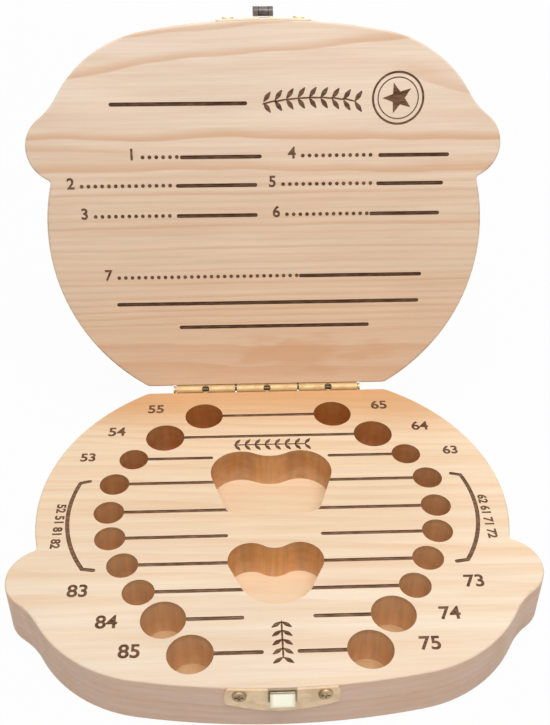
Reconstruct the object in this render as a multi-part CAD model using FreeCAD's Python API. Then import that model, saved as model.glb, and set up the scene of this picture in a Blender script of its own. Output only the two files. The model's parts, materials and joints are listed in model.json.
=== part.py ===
import FreeCAD, Part
import math
import os
from FreeCAD import Vector

# Keepsake box for milk teeth: two head-shaped boards of wood joined by a hinge and closed by a snap latch.
# Millimetres. +Z is up, the latch is at -Y and the hinge at +Y. The origin is the middle of the base's
# underside. The lid's pieces are made lying shut on the base and are then swung open as one.

# The two boards
box_width = 122.0            # over the tips of the ears
box_depth = 96.0             # from the hinge edge to the front
base_thickness = 13.0
lid_thickness = 13.0
closed_gap = 0.3             # between the boards when the lid is shut
edge_round = 0.5             # softened rim of both boards

# Outline of a board
jaw_width_share = 0.934      # of the box's width, over the jaw arcs
rear_corner_radius = 3.0     # between the jaw and the straight edge that carries the hinge
jaw_radius = 50.5
jaw_depth = 43.2             # from the hinge edge to the middle of the jaw arc
ear_radius = 9.0
ear_depth = 65.2             # from the hinge edge to the middle of the ear
ear_notch_radius = 1.0       # corner between the jaw and the ear
ear_blend_radius = 19.0      # hollow between the ear and the temple
temple_radius = 31.8
temple_width_share = 0.929   # of the box's width, over the temple arcs if they ran on under the ears
forehead_radius = 172.0

# Tooth cups, one row for each tooth of half a jaw, from the hinge to the latch
molar_cup_diameter = 10.0
small_cup_diameter = 7.3
cup_hollow = 10.0            # depth of every cup
cup_side_shares = (0.282, 0.446, 0.571, 0.639, 0.648, 0.632, 0.574, 0.506, 0.410, 0.311)    # of half the width
cup_depth_shares = (0.108, 0.196, 0.280, 0.373, 0.474, 0.562, 0.649, 0.732, 0.813, 0.908)   # of the depth
molar_rows = (0, 1, 8, 9)

# Heart-shaped hollows
heart_hollow = 10.0          # depth of both hearts
large_heart = {"width": 30.4, "length": 22.1, "lobe": 7.6, "cleft": 8.5, "tip": 4.0, "blunt": 16.2, "depth": 24.7}
small_heart = {"width": 22.2, "length": 18.1, "lobe": 5.4, "cleft": 5.0, "tip": 8.4, "blunt": 0.8, "depth": 56.4}

# Burnt lines
burn_width = 1.0
burn_depth = 0.25
joined_rows = (0, 1)         # rows whose line runs from cup to cup
inner_end_shares = (0, 0, 0.248, 0.225, 0.160, 0.187, 0.165, 0.115, 0.131, 0.066)           # of half the width
bracket_side_shares = (0.740, 0.777, 0.806, 0.722, 0.680)      # of half the width: tick, end, middle, end, tick
bracket_depth_shares = (0.360, 0.366, 0.495, 0.658, 0.662)     # of the depth, in the same order
lid_line_shares = (          # depth of the line, then its two ends, of the depth and of half the width
    (0.791, -0.634, -0.079),
    (0.652, -0.349, -0.021), (0.652, 0.489, 0.774),
    (0.576, -0.370, -0.041), (0.576, 0.483, 0.754),
    (0.494, -0.371, -0.041), (0.494, 0.457, 0.743),
    (0.322, 0.153, 0.676),
    (0.246, -0.647, 0.668),
    (0.177, -0.377, 0.450))

# Hinge
open_angle = 108.0           # lid stands here, on the hinge's stop
hinge_length = 50.0
leaf_width = 9.0             # from the hinge line to the leaf's far edge
leaf_thickness = 0.8
leaf_corner_radius = 1.5
barrel_radius = 1.2
barrel_offset = 1.0          # from the boards' rear faces to the hinge line
barrel_clearance = 0.15      # from the barrel to the groove in the boards
hinge_pin_radius = 0.6
pin_head_radius = 1.0
pin_head_length = 0.5
knuckle_gap = 0.5            # between neighbouring knuckles
barrel_room = 0.3            # from a knuckle to the other leaf's notch
knuckle_share = 1 / 3        # of the hinge's length
window_radius = 1.0          # hole in each knuckle that shows the pin
window_tilt = 40.0           # the holes look up and forward
stop_length = 6.0            # lug on the middle knuckle that stops the open lid
stop_thickness = 0.8
stop_reach = 2.5             # from the pin's axis
stop_clearance = 0.05
hinge_screw_share = 0.436    # of the hinge's length, from its middle to the outer screws
hinge_screw_drop = 5.4       # from the hinge line

# Latch
plate_width = 23.7
plate_thickness = 0.5
plate_end_height = 4.7
plate_middle_height = 6.9
plate_corner_radius = 0.8
plate_inset = 0.2            # from the board's rim to the plate
plate_screw_spacing = 17.6
plate_screw_drop = 1.9       # from the plate's straight edge
catch_width = 5.2
catch_start = 0.3            # from the plate's straight edge to the top of the catch
catch_ledge = 0.3            # how far the top of the catch stands out
catch_ramp_end = 2.6         # from the plate's straight edge to the foot of the ramp
catch_end = 3.6              # from the plate's straight edge to the underside of the catch
catch_proud = 1.7
catch_round = 0.25
lever_pin_radius = 0.5
lever_pin_height = 1.9       # from the lid's inner face to the pin
lever_pin_offset = 1.4       # from the plate's face to the pin
lever_barrel_radius = 1.1
lever_barrel_length = 2.2
lever_side_gap = 0.2         # from the lever's barrel to the ears that carry the pin
plate_ear_length = 1.1
lever_width = 5.0
lever_thickness = 0.6
lever_room = 0.3             # from the ears to the wide part of the lever
lever_lip_clearance = 0.2    # from the catch and the plate to the lever's lip
lever_swing = 180.0          # from hooked over the catch to folded back

# Screws, wood screws with a domed head and a cross recess
screw_head_radius = 1.5
screw_head_height = 0.5
screw_head_round = 0.3
screw_shank_radius = 0.7
screw_length = 4.5           # short of the nearest cups
recess_length = 1.8
recess_width = 0.45
recess_depth = 0.35
screw_hole_clearance = 0.15  # in the metal plates
pilot_clearance = 0.05       # in the wood
pilot_spare = 0.4            # hole left beyond the screw's end
pin_clearance = 0.05
overrun = 1.0                # of cuts past the face that they start from

half_width = box_width / 2
half_depth = box_depth / 2
half_gap = closed_gap / 2
base_top = base_thickness
lid_bottom = base_top + closed_gap
hinge_line = Vector(0, half_depth + barrel_offset, base_top + half_gap)
lever_line = Vector(0, -half_depth - plate_thickness - lever_pin_offset, lid_bottom + lever_pin_height)
upward = Vector(0, 0, 1)
backward = Vector(0, 1, 0)
sideways = Vector(1, 0, 0)
sides = (-1, 1)


def at(x, depth, height=0.0):
    # point of a board, by its distance from the hinge edge
    return Vector(x, half_depth - depth, height)


def toward(start, goal, reach):
    return start + (goal - start).normalize() * reach


def meet(first, first_reach, second, second_reach, side):
    # point at the given distances from two centres, left or right of the line between them
    gap = second - first
    along = (first_reach ** 2 - second_reach ** 2 + gap.Length ** 2) / (2 * gap.Length)
    across = math.sqrt(first_reach ** 2 - along ** 2)
    direction = gap / gap.Length
    return first + direction * along + upward.cross(direction) * (side * across)


def arc(centre, radius, start, end):
    # the shorter arc between two points of a circle
    middle = toward(centre, start + end - centre, radius)
    return Part.Arc(start, middle, end).toShape()


def line(start, end):
    return Part.LineSegment(start, end).toShape()


def mirrored(shape):
    return shape.mirror(Vector(), sideways)


def filled(edges):
    return Part.Face(Part.Wire(Part.__sortEdges__(edges)))


def cut_all(shape, tools):
    return shape.cut(Part.makeCompound(tools))


def joined(shapes):
    whole = shapes[0]
    for shape in shapes[1:]:
        whole = whole.fuse(shape)
    return whole.removeSplitter()


def box_between(low, high):
    size = high - low
    return Part.makeBox(size.x, size.y, size.z, low)


def across_bar(radius, length, middle):
    # round bar along X
    return Part.makeCylinder(radius, length, middle - sideways * (length / 2), sideways)


def board_outline():
    jaw = at(half_width * jaw_width_share - jaw_radius, jaw_depth)
    ear = at(half_width - ear_radius, ear_depth)
    forehead = at(0, box_depth - forehead_radius)
    temple_side = half_width * temple_width_share - temple_radius
    temple_rise = math.sqrt((forehead_radius - temple_radius) ** 2 - temple_side ** 2)
    temple = Vector(temple_side, forehead.y - temple_rise)
    corner_reach = math.sqrt((jaw_radius - rear_corner_radius) ** 2 - (jaw_depth - rear_corner_radius) ** 2)
    corner = at(jaw.x + corner_reach, rear_corner_radius)
    notch = meet(jaw, jaw_radius + ear_notch_radius, ear, ear_radius + ear_notch_radius, 1)
    blend = meet(temple, temple_radius + ear_blend_radius, ear, ear_radius + ear_blend_radius, -1)
    rear_end = at(corner.x, 0)
    jaw_start = toward(jaw, corner, jaw_radius)
    jaw_end = toward(jaw, notch, jaw_radius)
    ear_start = toward(ear, notch, ear_radius)
    ear_end = toward(ear, blend, ear_radius)
    temple_start = toward(temple, blend, temple_radius)
    temple_end = toward(forehead, temple, forehead_radius)
    side = [arc(corner, rear_corner_radius, rear_end, jaw_start),
            arc(jaw, jaw_radius, jaw_start, jaw_end),
            arc(notch, ear_notch_radius, jaw_end, ear_start),
            arc(ear, ear_radius, ear_start, ear_end),
            arc(blend, ear_blend_radius, ear_end, temple_start),
            arc(temple, temple_radius, temple_start, temple_end)]
    rear = line(at(-rear_end.x, 0), rear_end)
    front = arc(forehead, forehead_radius, temple_end, Vector(-temple_end.x, temple_end.y))
    return filled(side + [mirrored(edge) for edge in side] + [rear, front])


def blank_board(thickness):
    board = board_outline().extrude(upward * thickness)
    rims = [edge for edge in board.Edges if edge.BoundBox.ZLength < edge_round]
    return board.makeFillet(edge_round, rims)


def cup_places():
    # left and right place and diameter of each row's cups
    for row, (side_share, depth_share) in enumerate(zip(cup_side_shares, cup_depth_shares)):
        diameter = molar_cup_diameter if row in molar_rows else small_cup_diameter
        yield row, side_share * half_width, depth_share * box_depth, diameter


def cups():
    floor = base_top - cup_hollow
    return [Part.makeCylinder(diameter / 2, cup_hollow + overrun, at(side * x, depth, floor))
            for row, x, depth, diameter in cup_places() for side in sides]


def heart(sizes):
    # two lobes toward the hinge, straight flanks and a blunt end toward the latch
    lobe = at(sizes["width"] / 2 - sizes["lobe"], sizes["depth"] + sizes["lobe"])
    cleft_reach = sizes["lobe"] + sizes["cleft"]
    cleft = Vector(0, lobe.y + math.sqrt(cleft_reach ** 2 - lobe.x ** 2))
    bottom = at(sizes["blunt"] / 2, sizes["depth"] + sizes["length"])
    tip = bottom + backward * sizes["tip"]
    gap = lobe - tip
    flank_turn = math.atan2(gap.y, gap.x) - math.acos((sizes["tip"] - sizes["lobe"]) / gap.Length)
    flank = Vector(math.cos(flank_turn), math.sin(flank_turn))
    lobe_start = toward(lobe, cleft, sizes["lobe"])
    lobe_end = lobe + flank * sizes["lobe"]
    tip_start = tip + flank * sizes["tip"]
    lobe_top = toward(lobe, lobe + Vector(1, 1), sizes["lobe"])
    side = [Part.Arc(lobe_start, lobe_top, lobe_end).toShape(), line(lobe_end, tip_start),
            arc(tip, sizes["tip"], tip_start, bottom)]
    cleft_arc = arc(cleft, sizes["cleft"], lobe_start, Vector(-lobe_start.x, lobe_start.y))
    blunt_end = line(Vector(-bottom.x, bottom.y), bottom)
    face = filled(side + [mirrored(edge) for edge in side] + [cleft_arc, blunt_end])
    face.translate(upward * (base_top - heart_hollow))
    return face.extrude(upward * (heart_hollow + overrun))


def groove(band, surface):
    # burnt groove cut from one board's meeting face
    band.translate(upward * (surface - burn_depth))
    return band.extrude(upward * (2 * burn_depth))


def burnt_line(start_side, end_side, depth, surface):
    # straight groove across the board with round ends
    half = burn_width / 2
    ends = [at(x, depth) for x in (start_side, end_side)]
    rims = [[end + backward * (side * half) for end in ends] for side in sides]
    tips = [ends[0] - sideways * half, ends[1] + sideways * half]
    rounds = [Part.Arc(rims[0][which], tips[which], rims[1][which]).toShape() for which in (0, 1)]
    return groove(filled([line(*rims[0]), line(*rims[1])] + rounds), surface)


def burnt_path(edges, surface):
    band = Part.Wire(edges).makeOffset2D(burn_width / 2, 0, False, False)
    return groove(Part.Face(band), surface)


def base_lines():
    grooves = []
    for row, x, depth, diameter in cup_places():
        if row in joined_rows:
            grooves.append(burnt_line(-x, x, depth, base_top))
            continue
        inner = inner_end_shares[row] * half_width
        grooves.append(burnt_line(inner, x, depth, base_top))
        grooves.append(burnt_line(-x, -inner, depth, base_top))
    for side in sides:
        points = [at(side * x_share * half_width, depth_share * box_depth)
                  for x_share, depth_share in zip(bracket_side_shares, bracket_depth_shares)]
        bow = Part.Arc(points[1], points[2], points[3]).toShape()
        grooves.append(burnt_path([line(*points[:2]), bow, line(*points[3:])], base_top))
    return grooves


def lid_lines():
    return [burnt_line(start_share * half_width, end_share * half_width, depth_share * box_depth, lid_bottom)
            for depth_share, start_share, end_share in lid_line_shares]


def turned(shape, place, direction):
    # shape made along +Z, moved to a place and pointed along a direction
    moved = shape.copy()
    moved.Placement = FreeCAD.Placement(place, FreeCAD.Rotation(upward, direction))
    return moved


def screw():
    # head above z = 0, shank below
    head = Part.makeCylinder(screw_head_radius, screw_head_height)
    top = [edge for edge in head.Edges if edge.BoundBox.ZMin > screw_head_height / 2]
    head = head.makeFillet(screw_head_round, top)
    shank = Part.makeCylinder(screw_shank_radius, screw_length, upward * -screw_length)
    recess_floor = screw_head_height - recess_depth
    long_half = Vector(recess_length / 2, recess_width / 2, recess_floor)
    wide_half = Vector(recess_width / 2, recess_length / 2, recess_floor)
    slots = [box_between(Vector(-half.x, -half.y, recess_floor), half + upward * (recess_depth + overrun))
             for half in (long_half, wide_half)]
    return cut_all(joined([head, shank]), slots)


def screw_hole(radius, start):
    # hole along -Z below the screw's head
    depth = screw_length + pilot_spare
    return Part.makeCylinder(radius, depth + start, upward * -depth)


def hinge_screw_places(rise):
    # seats of the screw heads on one leaf
    face = half_depth + leaf_thickness
    return [Vector(step * hinge_length * hinge_screw_share, face, hinge_line.z + rise * hinge_screw_drop)
            for step in (-1, 0, 1)]


def front_normal(x):
    # outward direction of the curved front
    turn = math.asin(x / forehead_radius)
    return Vector(math.sin(turn), -math.cos(turn))


def plate_screw_places(rise):
    # seats of the screw heads on one latch plate
    centre = at(0, box_depth - forehead_radius)
    edge = base_top - plate_inset if rise < 0 else lid_bottom + plate_inset
    places = []
    for side in sides:
        normal = front_normal(side * plate_screw_spacing / 2)
        seat = centre + normal * (forehead_radius + plate_thickness)
        places.append((Vector(seat.x, seat.y, edge + rise * plate_screw_drop), normal))
    return places


def screw_sets(rise):
    # hinge screws, then latch screws, with the direction that each head looks in
    hinge = [(place, backward) for place in hinge_screw_places(rise)]
    return hinge, plate_screw_places(rise)


def pilot_holes(rise):
    hole = screw_hole(screw_shank_radius + pilot_clearance, overrun)
    hinge, plate = screw_sets(rise)
    return [turned(hole, place, direction) for place, direction in hinge + plate]


def plate_holes(places):
    hole = screw_hole(screw_shank_radius + screw_hole_clearance, overrun)
    return [turned(hole, place, direction) for place, direction in places]


def barrel_groove():
    # room for the barrel along the boards' rear edges
    length = hinge_length + 2 * (pin_head_length + knuckle_gap)
    return across_bar(barrel_radius + barrel_clearance, length, hinge_line)


def base_board():
    hollows = cups() + [heart(large_heart), heart(small_heart)]
    board = cut_all(blank_board(base_thickness), hollows + base_lines())
    return cut_all(board, pilot_holes(-1) + [barrel_groove()])


def lid_board():
    board = blank_board(lid_thickness)
    board.translate(upward * lid_bottom)
    return cut_all(board, lid_lines() + pilot_holes(1) + [barrel_groove()])


def leaf_blank(rise):
    # flat leaf on a board's rear face, rounded at its far corners
    near = hinge_line.z
    far = near + rise * leaf_width
    start = Vector(-hinge_length / 2, half_depth, min(near, far))
    leaf = Part.makeBox(hinge_length, leaf_thickness, leaf_width, start)
    corners = [edge for edge in leaf.Edges
               if edge.BoundBox.YLength > edge.BoundBox.XLength + edge.BoundBox.ZLength
               and abs(edge.CenterOfMass.z - far) < leaf_corner_radius]
    return leaf.makeFillet(leaf_corner_radius, corners)


def knuckle(length, x):
    return across_bar(barrel_radius, length, hinge_line + sideways * x)


def notch(length, x):
    # room for the other leaf's knuckle
    room = across_bar(barrel_radius + barrel_room, length, hinge_line + sideways * x)
    reach = barrel_radius + barrel_room
    corner = Vector(x - length / 2, half_depth - overrun, hinge_line.z - reach)
    return room.fuse(Part.makeBox(length, overrun + reach, 2 * reach, corner))


def window(x):
    direction = Vector(0, -math.cos(math.radians(window_tilt)), math.sin(math.radians(window_tilt)))
    return Part.makeCylinder(window_radius, barrel_radius + overrun, hinge_line + sideways * x, direction)


def hinge_leaf(rise):
    # the base's leaf carries the outer knuckles, the lid's leaf the middle one
    third = hinge_length * knuckle_share
    solid_length = third - knuckle_gap
    outer = [side * (hinge_length - solid_length) / 2 for side in sides]
    middle_length = hinge_length - 2 * third
    own, other = (outer, [0.0]) if rise < 0 else ([0.0], outer)
    own_length, other_length = (solid_length, middle_length) if rise < 0 else (middle_length, solid_length)
    leaf = leaf_blank(rise)
    gaps = [notch(other_length + 2 * knuckle_gap, x) for x in other]
    leaf = cut_all(leaf, gaps)
    leaf = joined([leaf] + [knuckle(own_length, x) for x in own])
    if rise > 0:
        leaf = leaf.fuse(stop_lug()).removeSplitter()
    bore = across_bar(hinge_pin_radius + pin_clearance, hinge_length + overrun, hinge_line)
    holes = plate_holes(screw_sets(rise)[0])
    windows = [window(x) for x in own]
    if rise > 0:
        windows = [closed_again(shape) for shape in windows]
    return cut_all(leaf, [bore] + holes + windows)


def stop_lug():
    # made where it stands with the lid open, against the base's leaf
    face = half_depth + leaf_thickness + stop_clearance
    low = Vector(-stop_length / 2, face, hinge_line.z - stop_reach)
    high = Vector(stop_length / 2, face + stop_thickness, hinge_line.z)
    return closed_again(box_between(low, high))


def hinge_pin():
    length = hinge_length + 2 * pin_head_length
    shaft = across_bar(hinge_pin_radius, length, hinge_line)
    head_place = (hinge_length + pin_head_length) / 2 + knuckle_gap / 2
    heads = [across_bar(pin_head_radius, pin_head_length, hinge_line + sideways * (side * head_place))
             for side in sides]
    return joined([shaft] + heads)


def latch_blank(rise):
    # plate bent to the front's curve, straight along the rim and bowed at its far edge
    edge = base_top - plate_inset if rise < 0 else lid_bottom + plate_inset
    half = plate_width / 2
    y = -half_depth - forehead_radius
    corners = [Vector(side * half, y, edge) for side in sides]
    ends = [Vector(side * half, y, edge + rise * plate_end_height) for side in sides]
    bow = Vector(0, y, edge + rise * plate_middle_height)
    profile = filled([line(corners[0], corners[1]), line(corners[1], ends[1]), line(ends[0], corners[0]),
                      Part.Arc(ends[0], bow, ends[1]).toShape()])
    prism = profile.extrude(backward * (2 * forehead_radius))
    uprights = [side for side in prism.Edges if side.BoundBox.YLength > forehead_radius]
    prism = prism.makeFillet(plate_corner_radius, uprights)
    centre = at(0, box_depth - forehead_radius, base_top - base_thickness)
    height = base_thickness + closed_gap + lid_thickness
    outer = Part.makeCylinder(forehead_radius + plate_thickness, height, centre)
    inner = Part.makeCylinder(forehead_radius, height, centre)
    shell = outer.cut(inner)
    front = box_between(Vector(-half, y, 0), Vector(half, 0, height))
    return shell.common(prism).common(front)


def catch_plate():
    # plate with a nose that ramps outwards and drops back under itself
    plate_face = -half_depth - plate_thickness
    edge = base_top - plate_inset
    root = plate_face + plate_thickness / 2
    half = catch_width / 2
    corners = [(root, catch_start), (plate_face - catch_ledge, catch_start),
               (plate_face - catch_proud, catch_ramp_end), (plate_face - catch_proud, catch_end), (root, catch_end)]
    points = [Vector(-half, y, edge - drop) for y, drop in corners]
    nose = filled([line(points[step - 1], points[step]) for step in range(len(points))])
    nose = nose.extrude(sideways * catch_width)
    rims = [rim for rim in nose.Edges if rim.CenterOfMass.y < plate_face - catch_ledge / 2]
    nose = nose.makeFillet(catch_round, rims)
    return cut_all(joined([latch_blank(-1), nose]), plate_holes(screw_sets(-1)[1]))


def ear_places():
    reach = lever_barrel_length / 2 + lever_side_gap + plate_ear_length / 2
    return [side * reach for side in sides]


def latch_plate():
    plate = latch_blank(1)
    pieces = [plate]
    plate_back = -half_depth
    for x in ear_places():
        pieces.append(across_bar(lever_barrel_radius, plate_ear_length, lever_line + sideways * x))
        low = Vector(x - plate_ear_length / 2, lever_line.y, lever_line.z - lever_barrel_radius)
        high = Vector(x + plate_ear_length / 2, plate_back - plate_thickness / 2, lever_line.z + lever_barrel_radius)
        pieces.append(box_between(low, high))
    bore_length = 2 * (lever_barrel_length + plate_ear_length)
    bore = across_bar(lever_pin_radius + pin_clearance, bore_length, lever_line)
    return cut_all(joined(pieces), [bore] + plate_holes(screw_sets(1)[1]))


def lever_pin():
    length = lever_barrel_length + 2 * (lever_side_gap + plate_ear_length)
    return across_bar(lever_pin_radius, length, lever_line)


def latch_lever():
    # hooked over the catch: the blade hangs from its barrel and its lip turns in below the catch
    barrel = across_bar(lever_barrel_radius, lever_barrel_length, lever_line)
    plate_face = -half_depth - plate_thickness
    catch_bottom = base_top - plate_inset - catch_end
    lip_start = math.hypot(lever_line.z - catch_bottom, lever_pin_offset) + lever_lip_clearance
    lip_end = lip_start + lever_thickness
    neck_end = lever_barrel_radius + lever_room
    front = lever_line.y - lever_barrel_radius
    rear = front + lever_thickness
    neck_half = lever_barrel_length / 2
    blade_half = lever_width / 2
    neck = box_between(Vector(-neck_half, front, lever_line.z - neck_end), Vector(neck_half, rear, lever_line.z))
    blade = box_between(Vector(-blade_half, front, lever_line.z - lip_end),
                        Vector(blade_half, rear, lever_line.z - neck_end))
    lip = box_between(Vector(-blade_half, front, lever_line.z - lip_end),
                      Vector(blade_half, plate_face - lever_lip_clearance, lever_line.z - lip_start))
    bore = across_bar(lever_pin_radius + pin_clearance, lever_width, lever_line)
    return joined([barrel, neck, blade, lip]).cut(bore)


def opened(shape):
    # swung up with the lid
    moved = shape.copy()
    moved.rotate(hinge_line, sideways, -open_angle)
    return moved


def closed_again(shape):
    moved = shape.copy()
    moved.rotate(hinge_line, sideways, open_angle)
    return moved


def folded_back(shape):
    # lever swung off the catch and over on to the lid's front
    moved = shape.copy()
    moved.rotate(lever_line, sideways, -lever_swing)
    return moved


def screw_nodes(rise, prefixes):
    # named screws of one board, from left to right
    shape = screw()
    hinge, plate = screw_sets(rise)
    hinge_names = ("left", "middle", "right")
    plate_names = ("left", "right")
    named = {}
    for prefix, names, places in zip(prefixes, (hinge_names, plate_names), (hinge, plate)):
        for name, (place, direction) in zip(names, places):
            named[prefix + "_" + name] = turned(shape, place, direction)
    return named


def base_nodes():
    nodes = {"base_board": base_board(), "hinge_leaf_base": hinge_leaf(-1), "hinge_pin": hinge_pin(),
             "catch_plate": catch_plate()}
    nodes.update(screw_nodes(-1, ("hinge_screw_base", "catch_screw")))
    return nodes


def lid_nodes():
    nodes = {"lid_board": lid_board(), "hinge_leaf_lid": hinge_leaf(1), "latch_plate": latch_plate(),
             "lever_pin": lever_pin(), "latch_lever": folded_back(latch_lever())}
    nodes.update(screw_nodes(1, ("hinge_screw_lid", "latch_screw")))
    return {name: opened(shape) for name, shape in nodes.items()}


def main():
    os.makedirs("parts", exist_ok=True)
    nodes = {**base_nodes(), **lid_nodes()}
    for name, shape in nodes.items():
        shape.exportStep("parts/" + name + ".step")
        print(name, len(shape.Solids), shape.isValid(), round(shape.Volume, 2))
    print("hinge line", hinge_line)
    print("lever line", opened(Part.Vertex(lever_line)).Point)


main()
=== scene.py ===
import json
import math

import bmesh
import bpy
from mathutils import Matrix, Vector


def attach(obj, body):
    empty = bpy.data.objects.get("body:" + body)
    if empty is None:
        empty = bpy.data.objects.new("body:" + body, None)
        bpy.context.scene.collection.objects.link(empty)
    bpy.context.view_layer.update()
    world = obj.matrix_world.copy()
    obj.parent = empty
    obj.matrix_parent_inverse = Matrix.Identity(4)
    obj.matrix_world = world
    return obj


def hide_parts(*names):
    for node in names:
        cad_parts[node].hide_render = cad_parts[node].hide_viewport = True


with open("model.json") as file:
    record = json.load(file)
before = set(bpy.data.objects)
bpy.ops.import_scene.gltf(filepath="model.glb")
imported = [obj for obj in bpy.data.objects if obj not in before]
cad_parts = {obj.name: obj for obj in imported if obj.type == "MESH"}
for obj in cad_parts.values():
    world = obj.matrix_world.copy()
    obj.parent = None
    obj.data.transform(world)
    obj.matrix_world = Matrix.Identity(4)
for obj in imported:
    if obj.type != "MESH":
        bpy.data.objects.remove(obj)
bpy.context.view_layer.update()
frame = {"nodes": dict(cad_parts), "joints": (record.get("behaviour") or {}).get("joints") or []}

mm = 0.001
white = (1, 1, 1, 1)
nodes = frame["nodes"]
lidJoint = next(joint for joint in frame["joints"] if joint["name"] == "lid_hinge")
hingeLine = Vector(lidJoint["pos_m"])
openAngle = math.radians(lidJoint["range_deg"][1])
print("frame loaded:", len(nodes), "nodes")

board = {"depth": 96 * mm, "halfWidth": 61 * mm, "top": 13 * mm, "gap": 0.3 * mm, "groove": 0.25 * mm}
swingOpen = Matrix.Translation(hingeLine) @ Matrix.Rotation(-openAngle, 4, "X") @ Matrix.Translation(-hingeLine)


def basePlace(x, depth):  # base's top face, by the distance from its hinge edge
    return Matrix.Translation((x, board["depth"] / 2 - depth, board["top"]))


# lid's inner face: x across, y up from the hinge edge, z out of the face
lidInner = Matrix.Translation((0, board["depth"] / 2, board["top"] + board["gap"]))
lidFace = swingOpen @ lidInner @ Matrix.Rotation(math.pi, 4, "X")


# node helpers

def wire(tree, socket, value):
    if hasattr(value, "is_output"):
        tree.links.new(value, socket)
    else:
        socket.default_value = value


def calc(tree, operation, *values, clamp=False):
    node = tree.nodes.new("ShaderNodeMath")
    node.operation = operation
    node.use_clamp = clamp
    for socket, value in zip(node.inputs, values):
        wire(tree, socket, value)
    return node.outputs[0]


def spread(tree, value, low, high, toLow=0.0, toHigh=1.0, smooth=True):
    node = tree.nodes.new("ShaderNodeMapRange")
    node.interpolation_type = "SMOOTHSTEP" if smooth else "LINEAR"
    for socket, entry in zip(node.inputs, (value, low, high, toLow, toHigh)):
        wire(tree, socket, entry)
    return node.outputs[0]


def mixColour(tree, factor, first, second, kind="MIX"):
    node = tree.nodes.new("ShaderNodeMix")
    node.data_type = "RGBA"
    node.blend_type = kind
    wire(tree, node.inputs["Factor"], factor)
    wire(tree, node.inputs[6], first)
    wire(tree, node.inputs[7], second)
    return node.outputs[2]


def shaded(tree, colour, shade):  # colour made lighter or darker by one value
    grey = tree.nodes.new("ShaderNodeCombineColor")
    for socket in grey.inputs:
        wire(tree, socket, shade)
    return mixColour(tree, 1.0, colour, grey.outputs[0], "MULTIPLY")


def pattern(tree, place, size, detail=3.0, rough=0.5):  # noise, with its size per metre on each axis
    mapping = tree.nodes.new("ShaderNodeMapping")
    wire(tree, mapping.inputs["Vector"], place)
    mapping.inputs["Scale"].default_value = size
    node = tree.nodes.new("ShaderNodeTexNoise")
    wire(tree, node.inputs["Vector"], mapping.outputs[0])
    node.inputs["Scale"].default_value = 1.0
    node.inputs["Detail"].default_value = detail
    node.inputs["Roughness"].default_value = rough
    return node.outputs["Fac"]


def axisValues(tree, place):
    split = tree.nodes.new("ShaderNodeSeparateXYZ")
    wire(tree, split.inputs[0], place)
    return split.outputs


def reachOf(tree, first, second):  # length of two sides at a right angle
    squares = [calc(tree, "MULTIPLY", side, side) for side in (first, second)]
    return calc(tree, "SQRT", calc(tree, "ADD", *squares))


def bump(tree, height, strength, distance):
    node = tree.nodes.new("ShaderNodeBump")
    node.inputs["Strength"].default_value = strength
    node.inputs["Distance"].default_value = distance
    wire(tree, node.inputs["Height"], height)
    return node.outputs[0]


socketKinds = {type(None): "NodeSocketVector", float: "NodeSocketFloat", tuple: "NodeSocketColor"}


def newGroup(name, inputs, outputs):  # each socket's kind follows from its value
    tree = bpy.data.node_groups.new(name, "ShaderNodeTree")
    for label, value in inputs.items():
        socket = tree.interface.new_socket(label, in_out="INPUT", socket_type=socketKinds[type(value)])
        if value is not None:
            socket.default_value = value
    for label, value in outputs.items():
        tree.interface.new_socket(label, in_out="OUTPUT", socket_type=socketKinds[type(value)])
    return tree, tree.nodes.new("NodeGroupInput").outputs, tree.nodes.new("NodeGroupOutput").inputs


def useGroup(tree, group, **values):
    node = tree.nodes.new("ShaderNodeGroup")
    node.node_tree = group
    for label, value in values.items():
        wire(tree, node.inputs[label], value)
    return node.outputs


def newMaterial(name):
    material = bpy.data.materials.new(name)
    material.use_nodes = True
    tree = material.node_tree
    return material, tree, tree.nodes["Principled BSDF"].inputs


def basePattern(tree):
    return tree.nodes.new("ShaderNodeTexCoord").outputs["Object"]


def lidPattern(tree):  # turned back to the shut lid, so that the grain lies flat in it
    mapping = tree.nodes.new("ShaderNodeMapping")
    wire(tree, mapping.inputs["Vector"], basePattern(tree))
    mapping.inputs["Rotation"].default_value = (openAngle, 0.0, 0.0)
    mapping.inputs["Location"].default_value = hingeLine - Matrix.Rotation(openAngle, 3, "X") @ hingeLine
    return mapping.outputs[0]


# shared effects

noiseSpan = (0.3, 0.7)  # nearly all of a noise pattern lies between these

pineLook = {"waver": (9, 30, 30), "ripple": (45, 200, 200), "rippleReach": 0.7 * mm, "amberWaver": 30 * mm,
            "ringRise": (0.35, 0.86), "ringFall": (0.93, 1.0), "ringStrength": (0.25, 1.0),
            "fibre": (40, 1500, 1500), "fibreSpan": (0.25, 0.75), "fibreShade": (0.955, 1.03),
            "streak": (14, 260, 260), "streakSpan": (0.35, 0.75), "streakAmount": 0.28,
            "cloud": (18, 30, 30), "cloudShade": (-0.03, 0.03),
            "fleck": (160, 2600, 2600), "fleckSpan": (0.7, 0.82), "fleckAmount": 0.22,
            "roughness": (0.62, 0.48), "ringHeight": 0.6, "fibreHeight": 0.5}


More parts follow.
